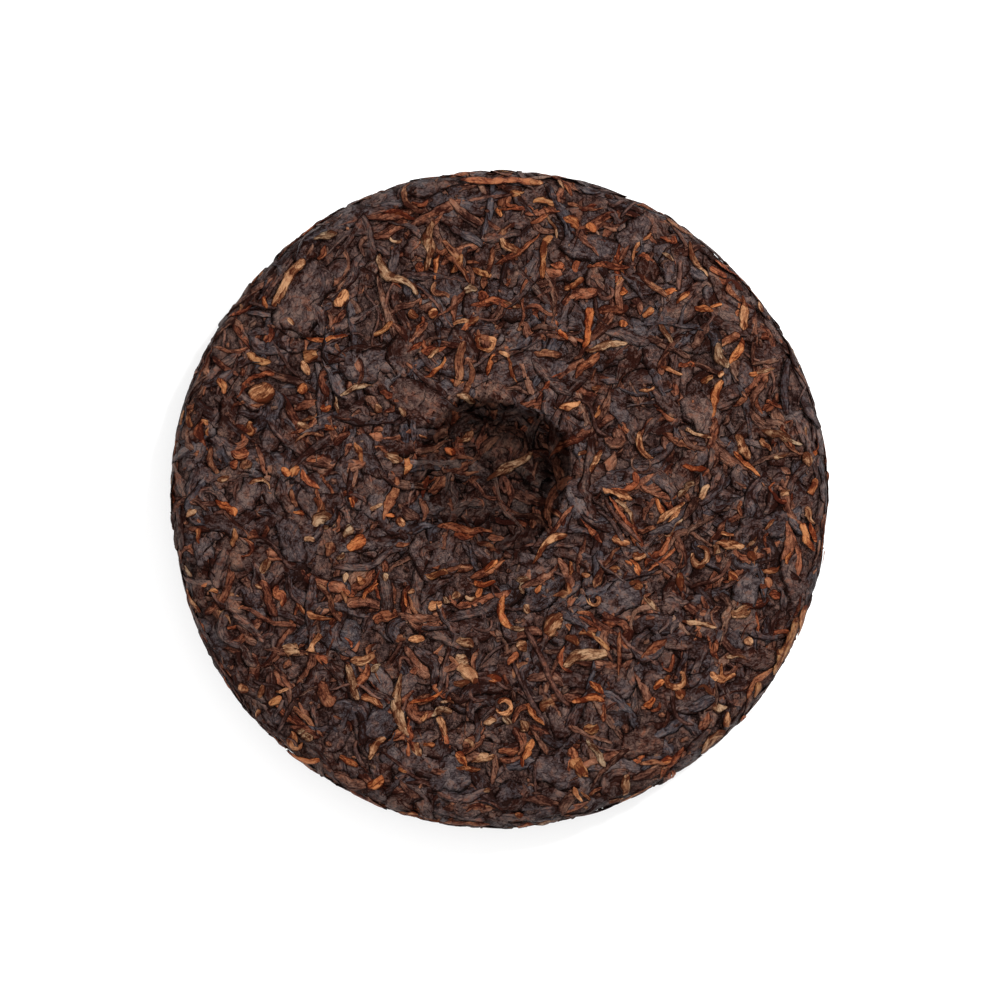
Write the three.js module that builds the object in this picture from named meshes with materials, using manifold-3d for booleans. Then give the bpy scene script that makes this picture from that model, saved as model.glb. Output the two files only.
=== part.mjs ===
// A pressed round cake of ripe pu erh tea, lying on its domed face with the dimpled back up.
// The cake is one solid: a core with the true profile, dimple and uneven outline, and the larger
// leaves that show on it, fused on at true size.
//
// Both faces are laid out as flat sheets. A place (x, y) on a sheet is as far from the sheet's
// centre as the matching place on the cake is along its skin, so one flat layout covers a face,
// its shoulder and the rim.
import * as THREE from "three";
import { mergeVertices } from "three/addons/utils/BufferGeometryUtils.js";
import Module from "manifold-3d";

// Driving dimensions, in millimetres and degrees.
const CAKE_RADIUS = 97.5;
const CAKE_THICKNESS = 24;
const SHOULDER_RADIUS = 90;
const SHOULDER_DROP = 2.4;
const NOSE_HEIGHT = 11.5;
const UNDER_SHOULDER_RADIUS = 87;
const UNDER_SHOULDER_HEIGHT = 3.9;
const SEAT_RADIUS = 60;
const SEAT_DEPTH = 0.5; // how far the core lies above the leaves that the cake rests on
const DIMPLE_X = -2;
const DIMPLE_Y = 7;
const DIMPLE_RADIUS = 23.3;
const DIMPLE_DEPTH = 13;
const DIMPLE_STEEPNESS = 2.2; // the power by which the dimple's wall falls from its edge
const SHOULDER_SAG = 1.3; // how much lower the back's shoulder is at its upper left
const LEAF_THICKNESS = 1.1;
const LEAF_ROOT = 0.7; // how deep a leaf reaches into the core

// The leaves that stand out on the dimpled back: x and y of the middle, heading in degrees,
// length, width, and how many degrees the leaf turns from end to end.
const BACK_LEAVES = [
  [-62, 63, 57, 17, 3.6, 14],
  [-57, 59, 60, 24, 13, 10],
  [-51, 76, 12, 9, 2.6, 0],
  [-20, 74, 94, 16, 3.8, 10],
  [-24, 88, -100, 15, 2.4, 180],
  [-28, 65, -55, 19, 3, 60],
  [-10, 84, -39, 13, 3.4, 0],
  [-9, 78, -30, 14, 3.6, 8],
  [2, 93, 0, 25, 2.8, -12],
  [-5, 67, -22, 7, 2.8, 0],
  [-10, 53, 20, 9, 2.6, 20],
  [26, 39, 47, 12, 3, -12],
  [15, 42, -3, 9, 3, 0],
  [44, 16, -60, 11, 2.6, 95],
  [43, 9, 0, 12, 2.4, 300],
  [24, 28, 18, 8, 3, 10],
  [4, 10, 40, 15, 3.4, 6],
  [34, 45, 8, 14, 3, -16],
  [34, 21, 48, 18, 2.6, 8],
  [30, 11, 64, 9, 2.4, 0],
];
// The broad leaf at the middle of the front, whose flattened face the cake rests on.
const SEAT_LEAF = [0, 0, 20, 26, 15, 0];
const RANDOM_SEED = 12;
const BACK_LEAF_COUNT = 70;
const FRONT_LEAF_COUNT = 52;

// Numbers from 0 to 1 that look random and are the same on every run.
function seededDraw(seed) {
  let state = seed;
  return () => {
    state = (state + 0x6d2b79f5) | 0;
    let mixed = Math.imul(state ^ (state >>> 15), 1 | state);
    mixed = (mixed + Math.imul(mixed ^ (mixed >>> 7), 61 | mixed)) ^ mixed;
    return ((mixed ^ (mixed >>> 14)) >>> 0) / 4294967296;
  };
}

// The half section, from the middle of the back over the rim to the middle of the front.
function sectionPath() {
  const shoulderHeight = CAKE_THICKNESS - SHOULDER_DROP;
  const path = new THREE.Path();
  path.moveTo(0, CAKE_THICKNESS);
  path.quadraticCurveTo(0.62 * SHOULDER_RADIUS, CAKE_THICKNESS, SHOULDER_RADIUS, shoulderHeight);
  path.bezierCurveTo(
    CAKE_RADIUS - 1.6, shoulderHeight - 1.0,
    CAKE_RADIUS, NOSE_HEIGHT + 4.6,
    CAKE_RADIUS, NOSE_HEIGHT,
  );
  path.bezierCurveTo(
    CAKE_RADIUS, NOSE_HEIGHT - 3.8,
    CAKE_RADIUS - 3.8, UNDER_SHOULDER_HEIGHT + 2.0,
    UNDER_SHOULDER_RADIUS, UNDER_SHOULDER_HEIGHT,
  );
  path.quadraticCurveTo(SEAT_RADIUS + 12, SEAT_DEPTH, SEAT_RADIUS, SEAT_DEPTH);
  path.lineTo(0, SEAT_DEPTH);
  return path;
}
const section = sectionPath();
const sectionLength = section.getLength();

// How much further out than a true circle the outline lies at an angle, as a share.
function outOfRound(angle) {
  return 0.0045 * Math.cos(angle + 0.87) + 0.003 * Math.cos(3 * angle - 0.6) + 0.002 * Math.sin(7 * angle);
}

// Low swells of the pressed leaf bed.
function swell(x, y) {
  const long = Math.sin(0.11 * x + 1.3) * Math.cos(0.09 * y - 0.4);
  const short = Math.sin(0.27 * x - 0.21 * y) * Math.cos(0.23 * x + 0.19 * y + 2.1);
  return 0.35 * long + 0.25 * short;
}

// How far out the dimple's edge lies at an angle, as a share of its radius: a rounded square
// with its corners at the upper right, upper left, lower left and lower right.
function dimpleSpread(angle) {
  return 1 + 0.045 * Math.cos(4 * angle - 1.8) + 0.012 * Math.cos(2 * angle);
}

// How deep the dimple is under the back at a place: the wall drops fast from a crisp edge and
// runs out onto the floor, closest to the edge at the upper right.
function dimpleDrop(x, y) {
  const dx = x - DIMPLE_X;
  const dy = y - DIMPLE_Y;
  const angle = Math.atan2(dy, dx);
  const reach = Math.hypot(dx, dy) / (DIMPLE_RADIUS * dimpleSpread(angle));
  const floorEdge = 0.56 + 0.17 * Math.cos(angle - 0.8);
  const inwards = THREE.MathUtils.clamp((1 - reach) / (1 - floorEdge), 0, 1);
  const wall = 1 - (1 - inwards) ** DIMPLE_STEEPNESS;
  return DIMPLE_DEPTH * wall * (1 - 0.1 * Math.min(reach, 1) ** 2);
}

// How far the back's shoulder sags at a place between its face and the rim's nose.
function shoulderSag(along, angle) {
  const band = THREE.MathUtils.smoothstep(along, 78, 92) - THREE.MathUtils.smoothstep(along, 95, 106);
  return SHOULDER_SAG * band * (0.5 + 0.5 * Math.cos(angle - 2.4));
}

// The place on the cake's skin that (x, y) on a sheet stands for.
function skinPoint(side, x, y) {
  const along = Math.hypot(x, y);
  const angle = Math.atan2(y, x);
  const share = THREE.MathUtils.clamp(along / sectionLength, 0, 1);
  const spot = section.getPointAt(side === "back" ? share : 1 - share);
  const radius = spot.x * (1 + outOfRound(angle));
  const faceShare = 1 - THREE.MathUtils.smoothstep(along, SEAT_RADIUS, SHOULDER_RADIUS);
  const drop = side === "back" ? dimpleDrop(x, y) + shoulderSag(along, angle) : 0;
  const swelling = side === "back" ? swell(x, y) : swell(x, y) * (1 - faceShare);
  return new THREE.Vector3(radius * Math.cos(angle), radius * Math.sin(angle), spot.y - drop + swelling);
}

// The skin's outward direction there.
function skinNormal(side, x, y) {
  const step = 0.6;
  const east = skinPoint(side, x + step, y).sub(skinPoint(side, x - step, y));
  const north = skinPoint(side, x, y + step).sub(skinPoint(side, x, y - step));
  const normal = east.cross(north).normalize();
  return side === "back" ? normal : normal.negate();
}

function liftedPoint(side, x, y, lift) {
  return skinPoint(side, x, y).addScaledVector(skinNormal(side, x, y), lift);
}

// A closed geometry from rings of points between two end points.
function ringsGeometry(first, rings, last, faceInwards) {
  const sides = rings[0].length;
  const points = [first, ...rings.flat(), last];
  const ringStart = (ring) => 1 + ring * sides;
  const triangles = [];
  for (let side = 0; side < sides; side++) {
    const next = (side + 1) % sides;
    triangles.push([0, ringStart(0) + side, ringStart(0) + next]);
    for (let ring = 0; ring + 1 < rings.length; ring++) {
      const here = ringStart(ring);
      const beyond = ringStart(ring + 1);
      triangles.push([here + side, beyond + side, beyond + next]);
      triangles.push([here + side, beyond + next, here + next]);
    }
    const end = ringStart(rings.length - 1);
    triangles.push([end + side, points.length - 1, end + next]);
  }
  const geometry = new THREE.BufferGeometry().setFromPoints(points);
  geometry.setIndex(triangles.flatMap(([a, b, c]) => (faceInwards ? [a, c, b] : [a, b, c])));
  return geometry;
}

// The cake without its leaves. Rings run out from the dimple's middle to the rim, at first in
// the shape of its edge, sliding over to the cake's own middle, and then back in over the front.
function coreGeometry() {
  const around = 48;
  const edgeSteps = [0.35, 0.5, 0.62, 0.72, 0.81, 0.89, 0.96, 1, 1.06, 1.3];
  const outerSteps = [0.38, 0.52, 0.66, 0.77, 0.85, 0.9, 0.94, 0.97, 1];
  const frontSteps = [0.97, 0.93, 0.88, 0.81, 0.73, 0.6, 0.4, 0.2];
  const noseAlong = 0.5 * sectionLength;
  const angles = Array.from({ length: around }, (_, i) => (2 * Math.PI * i) / around);
  const edgeRing = (step) => angles.map((angle) => skinPoint(
    "back",
    DIMPLE_X + step * DIMPLE_RADIUS * dimpleSpread(angle) * Math.cos(angle),
    DIMPLE_Y + step * DIMPLE_RADIUS * dimpleSpread(angle) * Math.sin(angle),
  ));
  const outerRing = (step) => angles.map((angle) => skinPoint(
    "back",
    DIMPLE_X * (1 - step) + step * noseAlong * Math.cos(angle),
    DIMPLE_Y * (1 - step) + step * noseAlong * Math.sin(angle),
  ));
  const frontRing = (step) => angles.map((angle) => skinPoint(
    "front",
    step * noseAlong * Math.cos(angle),
    step * noseAlong * Math.sin(angle),
  ));
  const rings = [...edgeSteps.map(edgeRing), ...outerSteps.map(outerRing), ...frontSteps.map(frontRing)];
  return ringsGeometry(skinPoint("back", DIMPLE_X, DIMPLE_Y), rings, skinPoint("front", 0, 0), false);
}

// The middle line of a leaf on a sheet: an arc through its middle that turns by bend degrees.
function leafLine(x, y, heading, length, bend) {
  const turn = THREE.MathUtils.degToRad(bend);
  const start = THREE.MathUtils.degToRad(heading);
  return (t) => {
    const away = length * (t - 0.5);
    const half = (turn * (t - 0.5)) / 2;
    const chord = Math.abs(half) < 1e-6 ? away : (away * Math.sin(half)) / half;
    return {
      x: x + chord * Math.cos(start + half),
      y: y + chord * Math.sin(start + half),
      heading: start + 2 * half,
    };
  };
}

// One leaf: a strip with a ridge along its top and a flat underside sunk in the core, broadest
// in its middle and pointed at both ends. Where it meets the skin it is as wide as stated.
function leafGeometry(side, x, y, heading, length, width, bend, stations) {
  const line = leafLine(x, y, heading, length, bend);
  const spread = (LEAF_THICKNESS + LEAF_ROOT) / LEAF_THICKNESS;
  const tip = (t) => {
    const at = line(t);
    return liftedPoint(side, at.x, at.y, -0.4);
  };
  const rings = [];
  for (let i = 1; i <= stations; i++) {
    const t = i / (stations + 1);
    const at = line(t);
    const half = (width / 2) * Math.sin(Math.PI * t) ** 0.45;
    const across = (share, lift) => liftedPoint(
      side,
      at.x - share * half * Math.sin(at.heading),
      at.y + share * half * Math.cos(at.heading),
      lift,
    );
    rings.push([across(spread, -LEAF_ROOT), across(0.1, LEAF_THICKNESS), across(-spread, -LEAF_ROOT)]);
  }
  return ringsGeometry(tip(0), rings, tip(1), side === "back");
}

// Leaves spread evenly over a sheet by the golden angle. Every fifth is a broad one, and near
// the rim they follow its edge.
function scatteredLeaves(side, count, reach, draw) {
  const goldenAngle = Math.PI * (3 - Math.sqrt(5));
  const leaves = [];
  for (let i = 0; i < count; i++) {
    const along = reach * Math.sqrt((i + 0.5) / count) + 3 * (draw() - 0.5);
    const angle = i * goldenAngle + 0.15 * (draw() - 0.5);
    const broad = i % 5 === 0;
    const nearRim = along > SHOULDER_RADIUS - 4;
    const freeHeading = 360 * draw();
    const rimHeading = THREE.MathUtils.radToDeg(angle) + 90 + 30 * (draw() - 0.5);
    leaves.push([
      along * Math.cos(angle),
      along * Math.sin(angle),
      nearRim ? rimHeading : freeHeading,
      broad ? 17 + 8 * draw() : 12 + 13 * draw(),
      broad ? 8 + 4 * draw() : 3.2 + 2 * draw(),
      120 * (draw() - 0.5) * (broad ? 0.4 : 1),
    ]);
  }
  return leaves;
}

const wasm = await Module();
wasm.setup();

function solidOf(geometry) {
  const bare = geometry.clone();
  bare.deleteAttribute("normal");
  bare.deleteAttribute("uv");
  const merged = mergeVertices(bare, 1e-3);
  return new wasm.Manifold(new wasm.Mesh({
    numProp: 3,
    vertProperties: new Float32Array(merged.attributes.position.array),
    triVerts: new Uint32Array(merged.index.array),
  }));
}

function geometryOf(solid) {
  const mesh = solid.getMesh();
  const geometry = new THREE.BufferGeometry();
  geometry.setAttribute("position", new THREE.BufferAttribute(new Float32Array(mesh.vertProperties), 3));
  geometry.setIndex(new THREE.BufferAttribute(new Uint32Array(mesh.triVerts), 1));
  geometry.computeVertexNormals();
  return geometry;
}

// The core with every leaf fused on, cut flat where the cake rests.
function cakeSolid() {
  const draw = seededDraw(RANDOM_SEED);
  const backReach = 0.5 * sectionLength + 3;
  const frontReach = 0.5 * sectionLength - 3;
  const stationsFor = (length, bend) => (length > 20 || Math.abs(bend) > 70 ? 4 : 3);
  let cake = solidOf(coreGeometry());
  const fuse = (side, [x, y, heading, length, width, bend]) => {
    const stations = stationsFor(length, bend);
    cake = cake.add(solidOf(leafGeometry(side, x, y, heading, length, width, bend, stations)));
  };
  scatteredLeaves("back", BACK_LEAF_COUNT, backReach, draw).forEach((leaf) => fuse("back", leaf));
  scatteredLeaves("front", FRONT_LEAF_COUNT, frontReach, draw).forEach((leaf) => fuse("front", leaf));
  BACK_LEAVES.forEach((leaf) => fuse("back", leaf));
  fuse("front", SEAT_LEAF);
  const room = new THREE.BoxGeometry(4 * CAKE_RADIUS, 4 * CAKE_RADIUS, 2 * CAKE_THICKNESS);
  room.translate(0, 0, CAKE_THICKNESS);
  return largestShell(cake.intersect(solidOf(room)));
}

// The outer shell alone: a hollow sealed between leaves is filled, and a loose scrap is dropped.
function largestShell(solid) {
  return solid.decompose().reduce((kept, shell) => (shell.volume() > kept.volume() ? shell : kept));
}

function pressedLeafMaterial() {
  return new THREE.MeshStandardMaterial({ color: 0x3d2a24, roughness: 0.62, metalness: 0 });
}

// The origin is at the middle of the cake's footprint, on the surface that it lies on.
function teaCake() {
  const geometry = geometryOf(cakeSolid());
  geometry.computeBoundingBox();
  const middle = geometry.boundingBox.getCenter(new THREE.Vector3());
  geometry.translate(-middle.x, -middle.y, -geometry.boundingBox.min.z);
  const mesh = new THREE.Mesh(geometry, pressedLeafMaterial());
  mesh.name = "tea_cake";
  return mesh;
}

const group = new THREE.Group();
group.add(teaCake());

export default group;
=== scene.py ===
"""A pressed round cake of ripe pu erh tea, seen from straight above its dimpled back.

The cake's skin is the same surface as in its solid model: a half section carried round an uneven
outline, with an off-centre dimple. Both faces are laid out as flat sheets, on which a place is as
far from the middle as it is along the skin. Leaves are laid on the sheets in millimetres and then
carried onto the skin, over a bed of finer leaf.
"""
import math

import bpy
import numpy as np
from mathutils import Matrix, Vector


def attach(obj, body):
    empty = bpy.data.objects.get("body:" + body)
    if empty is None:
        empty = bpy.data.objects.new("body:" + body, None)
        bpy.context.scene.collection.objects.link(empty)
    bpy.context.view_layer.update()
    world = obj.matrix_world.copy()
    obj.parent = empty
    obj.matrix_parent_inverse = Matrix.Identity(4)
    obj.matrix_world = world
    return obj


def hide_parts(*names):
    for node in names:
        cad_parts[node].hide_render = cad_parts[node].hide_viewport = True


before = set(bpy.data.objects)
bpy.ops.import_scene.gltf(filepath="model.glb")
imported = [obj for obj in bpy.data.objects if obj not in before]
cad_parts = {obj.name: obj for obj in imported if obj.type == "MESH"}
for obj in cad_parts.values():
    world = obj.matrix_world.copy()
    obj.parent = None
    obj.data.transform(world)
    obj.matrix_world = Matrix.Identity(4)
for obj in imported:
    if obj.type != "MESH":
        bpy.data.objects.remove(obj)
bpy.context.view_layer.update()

MM = 0.001
CAKE_NODE = "tea_cake"

# The cake's form, in millimetres, as in its solid model.
CAKE_RADIUS = 97.5
CAKE_THICKNESS = 24.0
SHOULDER_RADIUS = 90.0
SHOULDER_DROP = 2.4
NOSE_HEIGHT = 11.5
UNDER_SHOULDER_RADIUS = 87.0
UNDER_SHOULDER_HEIGHT = 3.9
SEAT_RADIUS = 60.0
SEAT_DEPTH = 0.5
DIMPLE_X = -2.0
DIMPLE_Y = 7.0
DIMPLE_RADIUS = 23.3
DIMPLE_DEPTH = 13.0

# The leaf bed under the leaves: its mean lift over the skin and the height of its lumps, how much
# shorter its streaks are than a stem's, and its own numbers on the front and the back.
BED_LIFT = -0.12
BED_RELIEF = 0.5
BED_GRAIN = 4.0
BED_NUMBERS = (4.1, 1.4)
# How far above the skin pressed leaves may reach, and the height over which the table flattens
# what would sink into it.
HIGHEST_LIFT = 0.75
TABLE_SOFTNESS = 0.07
# How much more leaves stick out at the rim than elsewhere.
RIM_LOOSENESS = 3.0
# The reach that the whole front has, and no place on the back passes.
FAR_REACH = 3.0
# Landmarks lie on top of the pile. They are calmer and a little brighter than random leaves, and
# take less of the dimple's painted shade.
MARK_LIFT = (0.8, 0.95)
MARK_CALM = 0.5
MARK_BRIGHTER = 0.08
MARK_PAINTED_SHADE = 0.5
# The share of random leaves that curl strongly, and the least of a leaf that has to show.
CURLED_SHARE = 0.28
LEAST_SHOWN = 0.12

RANDOM_SEED = 2207
random = np.random.default_rng(RANDOM_SEED)
LATTICE = random.random((256, 256))

# How many leaves of each kind are laid at random on the back and on the front, the points round
# a leaf's section (over its top, plus one below) and the sections along it.
KINDS = {
    "broad_leaves": dict(back=640, front=520, tops=7, stations=11, slot="pressed_leaf"),
    "dark_strips": dict(back=480, front=500, tops=5, stations=14, slot="dark_leaf"),
    "brown_strips": dict(back=440, front=500, tops=5, stations=14, slot="brown_leaf"),
    "russet_strips": dict(back=230, front=300, tops=5, stations=14, slot="russet_leaf"),
    "amber_strips": dict(back=25, front=170, tops=5, stations=14, slot="golden_tip"),
    "golden_buds": dict(back=30, front=230, tops=5, stations=14, slot="golden_tip"),
    "leaf_stems": dict(back=110, front=110, tops=3, stations=16, slot="leaf_stem"),
    "leaf_crumbs": dict(back=900, front=1500, tops=3, stations=4, slot="leaf_crumb"),
}

# Ranges that the random leaves of each kind are drawn from: millimetres and degrees. lift is the
# height of the leaf's middle above the skin, wander how far its sides stray from their line, and
# grain how much shorter its streaks are than those of a stem.
PRESSED_STRIP = dict(
    lift=(0.0, 0.6), roll=13, crown=(0.05, 0.25), blunt=(0.22, 0.7), rag=0.42, crumple=0.12,
    wander=1.0, grain=1.0)
CURLED_TIP = dict(
    bend=95, lift=(0.2, 0.65), roll=12, crown=(0.1, 0.35), blunt=(0.25, 0.85), rag=0.7,
    crumple=0.2, wander=1.5, grain=1.2)
RANGES = {
    "broad_leaves": dict(
        length=(7, 21), width=(4, 10.5), bend=30, lift=(0.0, 0.5), roll=4, crown=(0.0, 0.1),
        blunt=(0.15, 0.4), rag=0.45, crumple=0.2, wander=1.7, grain=2.2),
    "dark_strips": dict(PRESSED_STRIP, length=(9, 28), width=(2.0, 4.8), bend=80),
    "brown_strips": dict(PRESSED_STRIP, length=(8, 24), width=(1.8, 4.2), bend=90),
    "russet_strips": dict(
        length=(5, 17), width=(1.4, 3.6), bend=100, lift=(0.1, 0.65), roll=12, crown=(0.1, 0.3),
        blunt=(0.25, 0.8), rag=0.6, crumple=0.18, wander=1.3, grain=1.2),
    "amber_strips": dict(CURLED_TIP, length=(3, 10), width=(1.2, 3.2)),
    "golden_buds": dict(CURLED_TIP, length=(3, 11), width=(1.2, 3.4)),
    "leaf_stems": dict(
        length=(8, 22), width=(0.9, 1.7), bend=70, lift=(0.1, 0.6), roll=4, crown=(0.2, 0.5),
        blunt=(0.15, 0.3), rag=0.15, crumple=0.05, wander=0.6, grain=1.0),
    "leaf_crumbs": dict(
        length=(1.0, 4.0), width=(0.8, 2.4), bend=40, lift=(0.0, 0.6), roll=16, crown=(0.1, 0.4),
        blunt=(0.2, 0.5), rag=0.3, crumple=0.12, wander=0.4, grain=1.5),
}

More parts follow.
